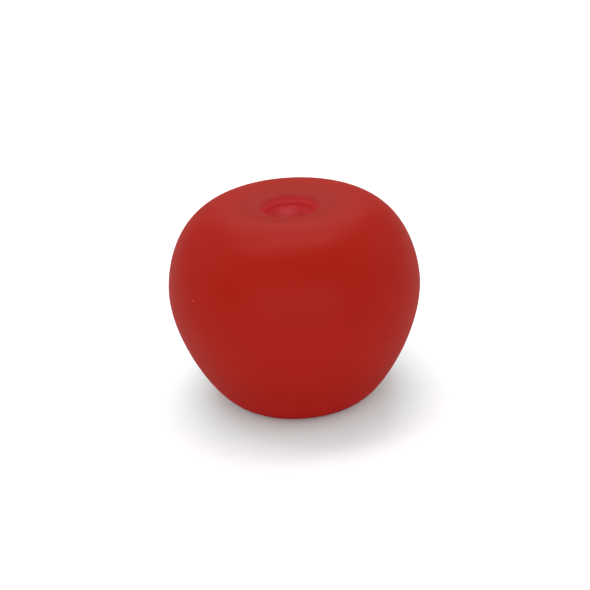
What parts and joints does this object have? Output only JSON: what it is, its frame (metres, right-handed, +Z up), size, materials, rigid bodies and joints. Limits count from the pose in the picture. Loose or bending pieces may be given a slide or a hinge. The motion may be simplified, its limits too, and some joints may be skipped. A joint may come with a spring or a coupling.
{
  "type": "garden game ball",
  "caption": "Squat apple-shaped game ball: soft satin red covers around a hard core, a flat foot, and a lined blind hole in the dished crown.",
  "frame": {"origin": "centre of the flat foot that the ball stands on", "axes": "+Z up along the axis of the body and of the hole; the body is the same all round, so +X and +Y are any two directions across it"},
  "size_m": [0.092, 0.092, 0.074],
  "materials": {
    "cover_rubber": "satin",
    "core_composite": "matte",
    "liner_plastic": "satin"
  },
  "bodies": {
    "root": {"cover_upper": "cover_rubber", "cover_lower": "cover_rubber", "core": "core_composite", "hole_liner": "liner_plastic"}
  },
  "joints": []
}
